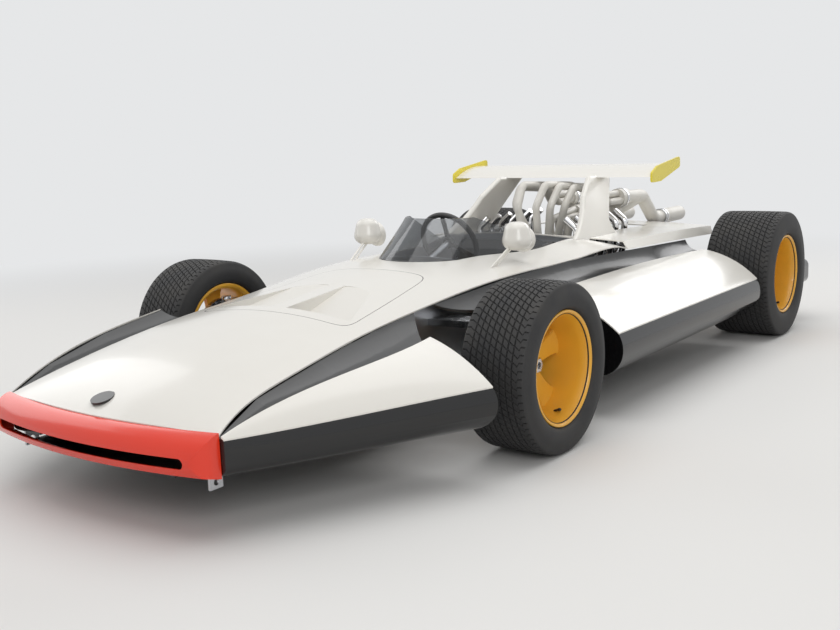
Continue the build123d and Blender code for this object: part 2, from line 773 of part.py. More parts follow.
# Wheels
def tyre(half, radius, centre_x, y):
    profile = [(-half + 23, bead_radius + seam), (-half + 23, flange_radius + 3), (-half, bead_radius + 62),
               (-half + 6, radius - 20), (-half + 26, radius), (half - 26, radius), (half - 6, radius - 20),
               (half, bead_radius + 62), (half - 23, flange_radius + 3), (half - 23, bead_radius + seam)]
    face = make_face(Polyline(*[(x, 0, r) for x, r in profile], close=True))
    return Pos(centre_x, y, radius) * revolve(face, Axis.X)


def rim(width, outer_x, y, z):
    h = width / 2
    f = flange_thickness
    profile = [(-h, flange_radius), (-h + f, flange_radius), (-h + f, bead_radius), (h - f, bead_radius),
               (h - f, flange_radius), (h, flange_radius), (h, bead_radius - barrel_wall),
               (-h, bead_radius - barrel_wall)]
    face = make_face(Polyline(*[(x, 0, r) for x, r in profile], close=True))
    wheel = revolve(face, Axis.X)
    reach = bead_radius - barrel_wall + 2
    star = Circle(star_radius)
    for k in range(spoke_count):
        points = [(0, spoke_root), (reach, spoke_tip), (reach, -spoke_tip), (0, -spoke_root)]
        star += Rot(0, 0, 90 + 360 * k / spoke_count) * make_face(Polyline(*points, close=True))
    star = Plane.YZ * star
    wheel += Pos(-h + spoke_reach_in, 0, 0) * extrude(star, spoke_thickness)
    nut_x = -h + spoke_reach_in
    wheel += along_x(hub_nut_radius, nut_x, nut_x + spoke_thickness + hub_nut_length, 0, 0)
    return Pos(outer_x - h, y, z) * wheel


front_star_x = front_rim_outer - front_rim_width + spoke_reach_in
front_upright_face = kingpin_x + upright_thickness / 2
front_hub = along_x(hub_radius, front_upright_face + bearing_gap, front_star_x - seam, 0, front_tyre_radius)
front_disc_x = front_upright_face + disc_clearance
front_hub += along_x(disc_radius, front_disc_x, front_disc_x + disc_thickness, 0, front_tyre_radius)

rear_star_x = rear_rim_outer - rear_rim_width + spoke_reach_in
rear_upright_face = rear_upright_x + upright_thickness / 2
rear_hub = along_x(hub_radius + 12, rear_upright_face + bearing_gap, rear_star_x - seam, wheelbase, rear_tyre_radius)
rear_disc_x = rear_upright_face + disc_clearance
rear_hub += along_x(disc_radius, rear_disc_x, rear_disc_x + disc_thickness, wheelbase, rear_tyre_radius)
rear_hub += along_x(shaft_radius, shaft_inner_x, rear_upright_face + 5, wheelbase, rear_tyre_radius)
rear_hub += along_x(shaft_joint_radius, shaft_inner_x, shaft_inner_x + 70, wheelbase, rear_tyre_radius)

front_upright = block(kingpin_x - upright_thickness / 2, front_upright_face, -34, 34, kingpin_bottom, kingpin_top)
front_upright += along_x(upright_bearing_radius, kingpin_x - 30, front_upright_face, 0, front_tyre_radius)
front_upright += rod((kingpin_x, -10, rack_z), (kingpin_x, -steering_arm, rack_z), 11)
front_upright += Pos(kingpin_x, -steering_arm, rack_z) * Cylinder(14, 30)

for side, name in ((1, "left"), (-1, "right")):
    flip = (lambda shape: shape) if side > 0 else mirrored
    pieces[f"front_tyre_{name}"] = flip(tyre(front_tyre_width / 2, front_tyre_radius,
                                             front_rim_outer - front_rim_width / 2, 0))
    pieces[f"rear_tyre_{name}"] = flip(tyre(rear_tyre_width / 2, rear_tyre_radius,
                                            rear_rim_outer - rear_rim_width / 2, wheelbase))
    pieces[f"front_rim_{name}"] = flip(rim(front_rim_width, front_rim_outer, 0, front_tyre_radius))
    pieces[f"rear_rim_{name}"] = flip(rim(rear_rim_width, rear_rim_outer, wheelbase, rear_tyre_radius))
    pieces[f"front_hub_{name}"] = flip(front_hub)
    pieces[f"rear_hub_{name}"] = flip(rear_hub)
    pieces[f"front_upright_{name}"] = flip(front_upright)

# Suspension carried by the tub and the gearbox
upper_z = kingpin_top + bearing_gap + arm_tube
lower_z = kingpin_bottom - bearing_gap - arm_tube
side_of_tub = tub_half + seam
front_left = Part()
front_left += rod((side_of_tub, -150, lower_z), (kingpin_x, 0, lower_z), arm_tube)
front_left += rod((side_of_tub, 170, lower_z), (kingpin_x, 0, lower_z), arm_tube)
front_left += Pos(kingpin_x, 0, lower_z) * Cylinder(ball_radius, 2 * arm_tube)
blade = prism([(side_of_tub, -blade_root), (kingpin_x, -blade_tip), (kingpin_x, blade_tip),
               (side_of_tub, blade_root)], upper_z - arm_tube, upper_z + arm_tube)
front_left += fillet(blade.edges().filter_by(Axis.Z).sort_by(Axis.X)[2:], blade_tip - 1)
front_left += Pos(kingpin_x, 0, upper_z + arm_tube) * Cylinder(ball_radius + 4, 14)
front_left &= block(side_of_tub, kingpin_x + 60, -400, 400, 100, 600)
pieces["front_suspension"] = Part() + [front_left, mirrored(front_left)]

rear_upright = block(rear_upright_x - upright_thickness / 2, rear_upright_face, wheelbase - 50, wheelbase + 50,
                     200, 456)
rear_upright += along_x(rear_bearing_bore + 26, rear_upright_x - 30, rear_upright_face, wheelbase, rear_tyre_radius)
rear_upright -= along_x(rear_bearing_bore, rear_upright_x - 60, rear_upright_face + 20, wheelbase, rear_tyre_radius)
side_x = gearbox_half + seam
rear_left = rear_upright
for a, b in (
    ((side_x, wheelbase - 110, 190), (rear_upright_x, wheelbase - 10, 215)),
    ((side_x, wheelbase - 10, 190), (rear_upright_x, wheelbase + 10, 215)),
    ((side_x, wheelbase - 60, 380), (rear_upright_x, wheelbase, 440)),
    ((400, tub_rear_y + seam, 430), (rear_upright_x, wheelbase - 20, 440)),
    ((400, tub_rear_y + seam, 200), (rear_upright_x, wheelbase - 20, 215)),
):
    rear_left += rod(a, b, arm_tube)
damper_top = Vector(side_x, wheelbase + 90, 385)
damper_run = Vector(rear_upright_x - 12, wheelbase + 46, 235) - damper_top
rear_left += rod(damper_top, damper_top + damper_run, damper_radius)
rear_left += rod(damper_top + damper_run * 0.25, damper_top + damper_run * 0.8, spring_radius)
rear_left &= block(side_x, rear_upright_face, tub_rear_y + seam, 2700, 100, 700)
pieces["rear_suspension"] = Part() + [rear_left, mirrored(rear_left)]

os.makedirs("parts", exist_ok=True)
middle_y = (wheelbase + tail_reach - nose_reach) / 2
for name, piece in pieces.items():
    export_step(Pos(0, -middle_y, 0) * piece, f"parts/{name}.step")
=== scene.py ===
import bmesh
import bpy
import numpy as np
from mathutils import Matrix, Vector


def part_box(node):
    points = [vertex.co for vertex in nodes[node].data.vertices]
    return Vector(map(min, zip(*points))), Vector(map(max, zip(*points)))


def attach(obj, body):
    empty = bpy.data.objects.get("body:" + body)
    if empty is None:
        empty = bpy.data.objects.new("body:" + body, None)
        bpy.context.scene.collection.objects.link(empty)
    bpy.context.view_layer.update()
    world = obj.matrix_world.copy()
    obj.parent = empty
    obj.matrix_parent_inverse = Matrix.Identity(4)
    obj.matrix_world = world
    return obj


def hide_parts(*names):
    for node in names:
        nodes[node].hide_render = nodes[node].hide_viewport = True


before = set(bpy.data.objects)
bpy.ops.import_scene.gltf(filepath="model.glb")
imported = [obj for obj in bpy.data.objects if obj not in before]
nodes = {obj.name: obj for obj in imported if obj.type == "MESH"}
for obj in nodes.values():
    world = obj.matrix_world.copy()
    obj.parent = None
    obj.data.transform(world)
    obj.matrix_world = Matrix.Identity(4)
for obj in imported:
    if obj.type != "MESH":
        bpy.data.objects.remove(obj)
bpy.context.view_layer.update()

# Camera. It stands ahead of the car on its left, a little above the wing, and looks slightly down.
# Its place and turn are those from which the photograph was taken; the lens is a short telephoto.
camera_at = np.array([2.63604548, -3.94011806, 1.12105443])
yaw, pitch, roll = np.radians([36.49206, 9.87965, -2.12130])
film_width, focal_length = 36, 44.292
look = np.array([-np.sin(yaw) * np.cos(pitch), np.cos(yaw) * np.cos(pitch), -np.sin(pitch)])
level = np.array([np.cos(yaw), np.sin(yaw), 0.0])
upward = np.cross(level, look)
right = level * np.cos(roll) + upward * np.sin(roll)
upward = upward * np.cos(roll) - level * np.sin(roll)
camera_data = bpy.data.cameras.new("camera")
camera_data.sensor_fit = "HORIZONTAL"
camera_data.sensor_width = film_width
camera_data.lens = focal_length
camera = bpy.data.objects.new("camera", camera_data)
bpy.context.collection.objects.link(camera)
turn = np.eye(4)
turn[:3, 0], turn[:3, 1], turn[:3, 2], turn[:3, 3] = right, upward, -look, camera_at
camera.matrix_world = Matrix(turn.tolist())
bpy.context.scene.camera = camera

# Studio. A pale seamless floor below a large soft overhead light, a key from ahead on the left, a weak fill
# from the right and a light from behind. Far out the floor glows in the backdrop's pale colour, so no edge
# shows, and the backdrop shows that colour to the camera, to mirrors and to glass.
floor_reach, floor_colour = 40, (0.78, 0.77, 0.75)
glow_from, glow_full = 2.6, 7.0
backdrop, backdrop_strength, backdrop_light = (0.93, 0.94, 0.95, 1), 0.85, 0.35
lamp_target, nearly_forward = np.array([0, 0, 0.4]), [0, 1, 0.001]
# Name, place, width and length, watts.
lamps = (("overhead", (0.5, 0, 5.5), (6, 8), 215), ("key", (5, -5, 3.6), (3, 3), 120),
         ("fill", (-5, -1, 3), (3, 5), 60), ("rear", (1, 6, 3.5), (4, 3), 80))


def paint(name, **values):
    """A material with one Principled shader, its plain sockets set by name; also its tree and shader."""
    material = bpy.data.materials.new(name)
    material.use_nodes = True
    tree = material.node_tree
    shader = tree.nodes["Principled BSDF"]
    for key, value in values.items():
        socket = shader.inputs[key.replace("_", " ")]
        socket.default_value = (*value, 1.0) if isinstance(value, tuple) else value
    return material, tree, shader


def wire(tree, kind, links=(), **values):
    """One new node; values sets its own options or its sockets, links joins (output, input name) pairs."""
    node = tree.nodes.new(kind)
    for key, value in values.items():
        if hasattr(node, key):
            setattr(node, key, value)
        else:
            node.inputs[key.replace("_", " ")].default_value = value
    for output, place in links:
        tree.links.new(output, node.inputs[place])
    return node


floor_mesh = bpy.data.meshes.new("floor")
floor_corners = [(-1, -1), (1, -1), (1, 1), (-1, 1)]
floor_mesh.from_pydata([(floor_reach * x, floor_reach * y, 0) for x, y in floor_corners], [], [(0, 1, 2, 3)])
floor = bpy.data.objects.new("floor", floor_mesh)
bpy.context.collection.objects.link(floor)
material, tree, shader = paint("floor_paper", Base_Color=floor_colour, Roughness=0.85)
floor_mesh.materials.append(material)
spot = tree.nodes.new("ShaderNodeTexCoord")
far = wire(tree, "ShaderNodeVectorMath", [(spot.outputs["Object"], 0)], operation="LENGTH")
far = wire(tree, "ShaderNodeMapRange", [(far.outputs["Value"], "Value")], From_Min=glow_from,
           From_Max=glow_full, interpolation_type="SMOOTHSTEP")
glow = wire(tree, "ShaderNodeEmission", Color=backdrop, Strength=backdrop_strength)
blend = wire(tree, "ShaderNodeMixShader",
             [(far.outputs[0], 0), (shader.outputs[0], 1), (glow.outputs[0], 2)])
tree.links.new(blend.outputs[0], tree.nodes["Material Output"].inputs["Surface"])

for name, place, size, power in lamps:
    lamp = bpy.data.lights.new(name, "AREA")
    lamp.shape = "RECTANGLE"
    lamp.size, lamp.size_y = size
    lamp.energy = power
    holder = bpy.data.objects.new(name, lamp)
    bpy.context.collection.objects.link(holder)
    toward = lamp_target - np.array(place, float)
    toward /= np.linalg.norm(toward)
    side = np.cross(toward, nearly_forward)
    side /= np.linalg.norm(side)
    turn = np.eye(4)
    turn[:3, 0], turn[:3, 1], turn[:3, 2], turn[:3, 3] = side, np.cross(side, toward), -toward, place
    holder.matrix_world = Matrix(turn.tolist())

world = bpy.context.scene.world or bpy.data.worlds.new("world")
bpy.context.scene.world = world
world.use_nodes = True
tree = world.node_tree
tree.nodes.clear()
rays = tree.nodes.new("ShaderNodeLightPath")
seen = wire(tree, "ShaderNodeMath", [(rays.outputs["Is Camera Ray"], 0), (rays.outputs["Is Glossy Ray"], 1)],
            operation="ADD")
seen = wire(tree, "ShaderNodeMath", [(seen.outputs[0], 0), (rays.outputs["Is Transmission Ray"], 1)],
            operation="ADD", use_clamp=True)
strength = wire(tree, "ShaderNodeMapRange", [(seen.outputs[0], "Value")], To_Min=backdrop_light,
                To_Max=backdrop_strength)
sky = wire(tree, "ShaderNodeBackground", [(strength.outputs[0], "Strength")], Color=backdrop)
ending = tree.nodes.new("ShaderNodeOutputWorld")
tree.links.new(sky.outputs[0], ending.inputs[0])
bpy.context.scene.view_settings.view_transform = "Standard"

# Body panels, wing and mirror pods. Thin glass-fibre mouldings sprayed in a warm white, slightly wavy, with
# fine dust where the paint lies flat. They are screwed to the tub and lift off for work on the car.
# Colour, colour of the dust on it, roughness, amount of dust.
white_look = ((0.80, 0.775, 0.72), (0.70, 0.66, 0.60), 0.2, 0.14)


def group(name, inputs, outputs):
    """A shader node group with named float inputs (name, default) and outputs (name, socket kind)."""
    tree = bpy.data.node_groups.new(name, "ShaderNodeTree")
    for key, value in inputs:
        socket = tree.interface.new_socket(key, in_out="INPUT", socket_type="NodeSocketFloat")
        socket.default_value = value
    for key, kind in outputs:
        tree.interface.new_socket(key, in_out="OUTPUT", socket_type="NodeSocket" + kind)
    return tree, tree.nodes.new("NodeGroupInput"), tree.nodes.new("NodeGroupOutput")


def placed(tree, effect, **values):
    """A node that puts a group into a material with its own values."""
    node = tree.nodes.new("ShaderNodeGroup")
    node.node_tree = effect
    for key, value in values.items():
        node.inputs[key.replace("_", " ")].default_value = value
    return node


def dress(material, *names):
    """Gives CAD nodes a material."""
    for name in names:
        mesh = nodes[name].data
        mesh.materials.clear()
        mesh.materials.append(material)


ripple, given, result = group("lacquer_ripple", [("Scale", 90), ("Depth", 0.1)], [("Normal", "Vector")])
spot = ripple.nodes.new("ShaderNodeTexCoord")
wave = wire(ripple, "ShaderNodeTexNoise",
            [(spot.outputs["Object"], "Vector"), (given.outputs["Scale"], "Scale")], Detail=2.0)
bump = wire(ripple, "ShaderNodeBump",
            [(wave.outputs["Fac"], "Height"), (given.outputs["Depth"], "Strength")], Distance=0.001)
ripple.links.new(bump.outputs[0], result.inputs["Normal"])

dusting, given, result = group("dusting", [("Amount", 0.3), ("Scale", 7)], [("Mask", "Float")])
spot = dusting.nodes.new("ShaderNodeTexCoord")
cloud = wire(dusting, "ShaderNodeTexNoise",
             [(spot.outputs["Object"], "Vector"), (given.outputs["Scale"], "Scale")], Detail=6.0,
             Roughness=0.65)
facing = dusting.nodes.new("ShaderNodeNewGeometry")
split = wire(dusting, "ShaderNodeSeparateXYZ", [(facing.outputs["Normal"], 0)])
flat = wire(dusting, "ShaderNodeMapRange", [(split.outputs["Z"], "Value")], From_Min=-0.2, From_Max=1.0,
            To_Min=0.3, To_Max=1.0)
patchy = wire(dusting, "ShaderNodeMapRange", [(cloud.outputs["Fac"], "Value")], From_Min=0.35, From_Max=0.75)
mask = wire(dusting, "ShaderNodeMath", [(flat.outputs[0], 0), (patchy.outputs[0], 1)], operation="MULTIPLY")
mask = wire(dusting, "ShaderNodeMath", [(mask.outputs[0], 0), (given.outputs["Amount"], 1)],
            operation="MULTIPLY")
dusting.links.new(mask.outputs[0], result.inputs["Mask"])


def lacquer(name, colour, dust_colour, rough, amount=0.3):
    """Glossy paint: base colour with a veil of dust, duller where dusty, over a slight ripple."""
    material, tree, shader = paint(name, Coat_Weight=0.25, Coat_Roughness=0.06)
    veil = placed(tree, dusting, Amount=amount)
    mix = wire(tree, "ShaderNodeMix", [(veil.outputs["Mask"], 0)], data_type="RGBA")
    mix.inputs[6].default_value = (*colour, 1)
    mix.inputs[7].default_value = (*dust_colour, 1)
    tree.links.new(mix.outputs[2], shader.inputs["Base Color"])
    dull = wire(tree, "ShaderNodeMapRange", [(veil.outputs["Mask"], "Value")], To_Min=rough,
                To_Max=rough + 0.35)
    tree.links.new(dull.outputs[0], shader.inputs["Roughness"])
    wavy = placed(tree, ripple, Scale=14, Depth=0.08)
    tree.links.new(wavy.outputs["Normal"], shader.inputs["Normal"])
    return material, tree, shader, mix


white, *_ = lacquer("white_paint", *white_look)
dress(white, "cockpit_surround", "rear_deck", "fender_left", "fender_right", "side_pod_left",
      "side_pod_right", "wing", "pylons", "mirrors")

# Front body. A white moulding of its own behind the nose band. A dark shut line with rounded corners bounds
# the hatch in its top, which lies flush and lifts out above the driver's feet.
hatch_front_left, hatch_rear_left, hatch_past_middle = (0.372, -1.302), (0.262, -0.655), -0.1
front_corner, rear_corner = 0.10, 0.14
line_half_width, line_fade, line_colour = 0.0010, 0.0018, (0.03, 0.028, 0.025, 1)
hatch, tree, shader, mix = lacquer("white_hatch_paint", *white_look)
spot = tree.nodes.new("ShaderNodeTexCoord")
split = wire(tree, "ShaderNodeSeparateXYZ", [(spot.outputs["Object"], 0)])
across = wire(tree, "ShaderNodeMath", [(split.outputs["X"], 0)], operation="ABSOLUTE")
along = split.outputs["Y"]


def beyond(start, end):
    """Distance past the plan line from start to end, to its right, as a node output. It is the point's
    share along the line's normal less the share of the line itself."""
    start, end = np.array(start), np.array(end)
    normal = np.array([end[1] - start[1], start[0] - end[0]]) / np.linalg.norm(end - start)
    first = wire(tree, "ShaderNodeMath", [(across.outputs[0], 0)], operation="MULTIPLY")
    first.inputs[1].default_value = normal[0]
    both = wire(tree, "ShaderNodeMath", [(along, 0), (first.outputs[0], 2)], operation="MULTIPLY_ADD")
    both.inputs[1].default_value = normal[1]
    gap = wire(tree, "ShaderNodeMath", [(both.outputs[0], 0)], operation="SUBTRACT")
    gap.inputs[1].default_value = float(start @ normal)
    return gap.outputs[0]


def farther(first, second, radius):
    """The larger of two distances, rounded off where they meet."""
    node = wire(tree, "ShaderNodeMath", [(first, 0), (second, 1)], operation="SMOOTH_MAX")
    node.inputs[2].default_value = radius
    return node.outputs[0]


edge = farther(beyond((hatch_past_middle, hatch_front_left[1]), hatch_front_left),
               beyond(hatch_front_left, hatch_rear_left), front_corner)
edge = farther(edge, beyond(hatch_rear_left, (hatch_past_middle, hatch_rear_left[1])), rear_corner)
near = wire(tree, "ShaderNodeMath", [(edge, 0)], operation="ABSOLUTE")
line = wire(tree, "ShaderNodeMapRange", [(near.outputs[0], "Value")], From_Min=line_half_width,
            From_Max=line_fade, To_Min=1.0, To_Max=0.0)
shut = wire(tree, "ShaderNodeMix", [(line.outputs[0], 0), (mix.outputs[2], 6)], data_type="RGBA")
shut.inputs[7].default_value = line_colour
tree.links.new(shut.outputs[2], shader.inputs["Base Color"])
dress(hatch, "front_body")

# Nose band and its plug. A separate glass-fibre moulding sprayed red-orange, screwed on along its rear edge,
# and a plain black plug let into its top.
red, *_ = lacquer("red_paint", (0.82, 0.036, 0.010), (0.62, 0.12, 0.07), 0.22, 0.1)
dress(red, "nose_band")
plug, *_ = lacquer("plug_black", (0.010, 0.010, 0.010), (0.06, 0.055, 0.05), 0.35, 0.15)
dress(plug, "nose_cap")

# Crash blocks and rear bumper. Thin skins filled with foam, which fold up in a knock, sprayed gloss black
# and bolted on ahead of, behind and between the wheels.
black, *_ = lacquer("black_paint", (0.004, 0.004, 0.0045), (0.03, 0.027, 0.024), 0.12, 0.12)
dress(black, "front_bumpers", "pod_bumpers", "rear_bumper")

# Troughs and undertray. Satin near-black panels: the troughs run between the tub and the crests of the pods,
# and the undertray closes the nose from below.
trough, *_ = lacquer("trough_black", (0.007, 0.007, 0.0075), (0.04, 0.037, 0.033), 0.3, 0.15)
dress(trough, "side_troughs", "undertray")

# Tub, lugs and steering gear. The tub is sheet alloy, folded and riveted into a box. The lugs and the rack,
# with its housing and column, are bare alloy as well, bolted to it, and dust dulls them in patches.
alloy, tree, shader = paint("sheet_alloy", Base_Color=(0.55, 0.56, 0.58), Metallic=1.0, Roughness=0.38)
veil = placed(tree, dusting, Amount=0.5, Scale=20)
rough = wire(tree, "ShaderNodeMapRange", [(veil.outputs["Mask"], "Value")], To_Min=0.3, To_Max=0.6)
tree.links.new(rough.outputs[0], shader.inputs["Roughness"])
dress(alloy, "tub", "front_lugs", "steering_rack", "rack_housing", "steering_column")

# Radiator, seat, steering wheel and cam covers. Matt black pieces with much dust: a painted core behind the
# mouth, a moulded seat, a wheel covered in leather, and crackle paint on the covers.
core, *_ = lacquer("radiator_black", (0.03, 0.03, 0.03), (0.12, 0.11, 0.10), 0.6, 0.5)
dress(core, "radiator", "seat", "steering_wheel", "cam_covers")

# Engine and gearbox. Sand-cast alloy with a fine grain, bolted to the rear of the tub, so that they carry
# the rear suspension.
cast, tree, shader = paint("cast_alloy", Base_Color=(0.36, 0.36, 0.37), Metallic=0.9, Roughness=0.5)
grain = wire(tree, "ShaderNodeTexNoise", Scale=350.0, Detail=3.0)
bump = wire(tree, "ShaderNodeBump", [(grain.outputs["Fac"], "Height")], Strength=0.3, Distance=0.001)
tree.links.new(bump.outputs[0], shader.inputs["Normal"])
dress(cast, "engine", "gearbox")

# Hubs, uprights and arms of the suspension. Turned, welded and plated steel, held by bolts through their
# ends. Road dust dulls the plating in patches.
steel, tree, shader = paint("polished_steel", Base_Color=(0.62, 0.63, 0.65), Metallic=1.0, Roughness=0.22)
veil = placed(tree, dusting, Amount=0.6, Scale=30)
rough = wire(tree, "ShaderNodeMapRange", [(veil.outputs["Mask"], "Value")], To_Min=0.16, To_Max=0.5)
tree.links.new(rough.outputs[0], shader.inputs["Roughness"])
dress(steel, "front_hub_left", "front_hub_right", "rear_hub_left", "rear_hub_right", "front_upright_left",
      "front_upright_right", "front_suspension", "rear_suspension")

# Intakes. One pipe for each cylinder, bent from thin tube and polished. They are bolted to the outer side of
# each bank and curl up and inwards over it.
chrome, tree, shader = paint("polished_chrome", Base_Color=(0.80, 0.80, 0.81), Metallic=1.0)
veil = placed(tree, dusting, Amount=0.4, Scale=35)
rough = wire(tree, "ShaderNodeMapRange", [(veil.outputs["Mask"], "Value")], To_Min=0.05, To_Max=0.25)
tree.links.new(rough.outputs[0], shader.inputs["Roughness"])
dress(chrome, "intakes")

# Exhausts. Bent and welded steel pipes with a pale heat-proof coat. Steel bands clamp the pipes where they
# merge and at the front of each tailpipe.
coat, *_ = lacquer("pipe_coat", (0.74, 0.72, 0.67), (0.50, 0.45, 0.38), 0.45, 0.6)
dress(coat, "exhausts", "tailpipes")
# Distance from the middle, place along the car, height, half length, inner and outer radius.
clamp_rows = ((0.165, 1.812, 0.596, 0.006, 0.036, 0.046), (0.165, 1.838, 0.596, 0.006, 0.036, 0.046),
              (0.15, 1.31, 0.742, 0.008, 0.046, 0.053))
merge_distance, sliver = 1e-5, 1e-6


def piece(name, grids, material, body, stands_for=(), crease=35):
    """One mesh from grids of points, each rows by columns by xyz. Neighbouring points are joined in quads,
    points that coincide are merged and the faces are turned outwards. Edges past the crease stay sharp."""
    points, quads, start = [], [], 0
    for grid in grids:
        rows, columns = grid.shape[:2]
        index = start + np.arange(rows * columns).reshape(rows, columns)
        corners = [index[:-1, :-1], index[1:, :-1], index[1:, 1:], index[:-1, 1:]]
        quads.append(np.stack(corners, -1).reshape(-1, 4))
        points.append(grid.reshape(-1, 3))
        start += rows * columns
    mesh = bpy.data.meshes.new(name)
    mesh.from_pydata(np.concatenate(points).tolist(), [], np.concatenate(quads).tolist())
    shell = bmesh.new()
    shell.from_mesh(mesh)
    bmesh.ops.remove_doubles(shell, verts=shell.verts, dist=merge_distance)
    bmesh.ops.dissolve_degenerate(shell, dist=sliver, edges=shell.edges)
    bmesh.ops.recalc_face_normals(shell, faces=shell.faces)
    shell.to_mesh(mesh)
    shell.free()
    mesh.shade_smooth()
    mesh.set_sharp_from_angle(angle=np.radians(crease))
    mesh.materials.append(material)
    thing = bpy.data.objects.new(name, mesh)
    bpy.context.collection.objects.link(thing)
    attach(thing, body)
    if stands_for:
        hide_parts(*stands_for)


def turned(profile, centre, axis=(1, 0, 0), count=48):
    """Surface of revolution: each (along, radius) pair goes round the axis in count steps."""
    axis = np.array(axis, float) / np.linalg.norm(axis)
    side = np.cross(axis, [0, 0, 1] if abs(axis[2]) < 0.9 else [1, 0, 0])
    side /= np.linalg.norm(side)
    angle = np.linspace(0, 2 * np.pi, count + 1)[None, :, None]
    along, radius = np.array(profile, float).T[:, :, None, None]
    circle = np.cos(angle) * side + np.sin(angle) * np.cross(axis, side)
    return np.array(centre) + along * axis + radius * circle


clamps = []
for side in (-1, 1):
    for x, y, z, half, inner, outer in clamp_rows:
        band = [(-half, inner), (-half, outer), (half, outer), (half, inner)]
        clamps.append(turned(band, (side * x, y, z), (0, 1, 0), 40))
piece("exhaust_clamps", clamps, steel, "chassis")

# Nuts and ignition caps on the cam covers. Each cover is held by two rows of small domed nuts, and a rubber
# cap for each cylinder's plug stands in the middle between them.
bank_lean, crank_centre = 30, np.array([0, 0, 0.240])
cover_height, nut_seat, nut_offset = 0.300, 0.0435, 0.038
nut_count, first_nut, nut_pitch = 7, 0.51, 0.10
cap_count, first_cap, cap_pitch = 6, 0.545, 0.108
# Along the stud or plug, radius.
nut_profile = [(0, 0.009), (0.007, 0.009), (0.010, 0.006), (0.010, 0)]
cap_profile = [(-0.004, 0.012), (0.018, 0.012), (0.022, 0.008), (0.040, 0.007), (0.042, 0)]
nuts, caps = [], []
for bank in (-1, 1):
    lean = np.radians(bank_lean * bank)
    outward = np.array([np.sin(lean), 0, np.cos(lean)])
    sideways = np.array([np.cos(lean), 0, -np.sin(lean)])
    for offset in (-nut_offset, nut_offset):
        for k in range(nut_count):
            foot = crank_centre + np.array([0, first_nut + nut_pitch * k, 0])
            place = foot + (cover_height + nut_seat) * outward + offset * sideways
            nuts.append(turned(nut_profile, place, outward, 6))
    for k in range(cap_count):
        foot = crank_centre + np.array([0, first_cap + cap_pitch * k, 0])
        caps.append(turned(cap_profile, foot + cover_height * outward, outward, 20))
piece("cam_cover_nuts", nuts, steel, "chassis")
piece("plug_caps", caps, plug, "chassis")

# Tyres. Wide cross-ply racing tyres with bulging side walls. Their ribs have slanting cuts, which run out in
# open notches at the shoulders. They are moulded in one piece and seat on the rim's beads.
groove_depth, cut_depth, shoulder, crown_drop, bead_radius = 0.006, 0.004, 0.028, 0.0015, 0.1905
rib_share, notch_rows = 0.72, 4
# Rows across one rib and the groove behind it, in rib widths; which of them lie in the groove; and how far
# round, in pitches, a cut has moved there.
rib_rows, rib_groove, rib_slant = [-0.5, 0.0, 0.5, 0.62, 0.88], [0, 0, 0, 1, 1], [0.0, 0.22, 0.44, 0.44, 0.0]
# Columns of one pitch round the tyre, and which of them lie in the cut.
pitch_columns, pitch_cut = [0, 0.05, 0.17, 0.22, 0.6], [0, 1, 1, 0, 0]
rubber, tree, shader = paint("tyre_rubber", Roughness=0.72)
veil = placed(tree, dusting, Amount=0.5, Scale=9)
mix = wire(tree, "ShaderNodeMix", [(veil.outputs["Mask"], 0)], data_type="RGBA")
mix.inputs[6].default_value = (0.020, 0.020, 0.021, 1)
mix.inputs[7].default_value = (0.075, 0.068, 0.058, 1)
tree.links.new(mix.outputs[2], shader.inputs["Base Color"])


def rounded(points, times=3):
    """A polyline with its corners cut at a quarter and three quarters of each run, several times over."""
    points = np.array(points, float)
    for _ in range(times):
        runs = np.diff(points, axis=0)
        inner = np.stack([points[:-1] + 0.25 * runs, points[:-1] + 0.75 * runs], 1)
        points = np.concatenate([points[:1], inner.reshape(-1, points.shape[1]), points[-1:]])
    return points


def tyre_surface(name, ribs, pitches):
    """Rows run across the tyre from bead to bead and columns round it. A row's radius drops by the groove
    depth between ribs, and by the cut depth at the columns of a cut; each rib shifts its columns round."""
    low, high = (np.array(corner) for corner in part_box(name))
    centre, radius, half = (low + high) / 2, (high[2] - low[2]) / 2, (high[0] - low[0]) / 2
    tread = half - shoulder
    wall = rounded([(half - 0.022, bead_radius), (half - 0.024, 0.208), (half - 0.006, 0.214), (half, 0.240),
                    (half, 0.262), (half - 0.006, radius - 0.022), (half - 0.010, radius - 0.006),
                    (tread, radius - crown_drop)], 2)
    rib = 2 * tread / ribs
    middles = (np.arange(ribs) + 0.5) * rib - tread
    across = (np.array(rib_rows) * rib * rib_share + middles[:, None]).ravel()[:-2]
    groove = np.tile(rib_groove, ribs)[:-2]
    slant = (np.tile(rib_slant, (ribs, 1)) + (np.arange(ribs) % 2 * 0.5)[:, None]).ravel()[:-2]
    crown = radius - crown_drop * (across / tread) ** 2
    x = np.concatenate([-wall[:-1, 0], across, wall[-2::-1, 0]])
    r = np.concatenate([wall[:-1, 1], crown - groove_depth * groove, wall[-2::-1, 1]])
    side = len(wall) - 1
    plain, notched = np.zeros(side - notch_rows), np.ones(notch_rows)
    cut = np.concatenate([plain, notched, 1 - groove, notched, plain])
    slant = np.concatenate([np.zeros(side), slant, np.zeros(side)])
    column = (np.arange(pitches)[:, None] + np.array(pitch_columns)).ravel()
    dip = np.append(np.tile(pitch_cut, pitches), 0)
    angle = 2 * np.pi / pitches * (np.append(column, pitches) + slant[:, None])
    reach = r[:, None] - cut_depth * cut[:, None] * dip
    grid = np.stack([x[:, None] + 0 * reach, reach * np.cos(angle), reach * np.sin(angle)], -1) + centre
    bead = np.stack([grid[-1], grid[0]])
    return [grid, bead]


for end, ribs, pitches in (("front", 9, 72), ("rear", 11, 76)):
    for side in ("left", "right"):
        name = f"{end}_tyre_{side}"
        piece(f"{name}_tread", tyre_surface(name, ribs, pitches), rubber, f"{end}_wheel_{side}",
              (name,), 25)

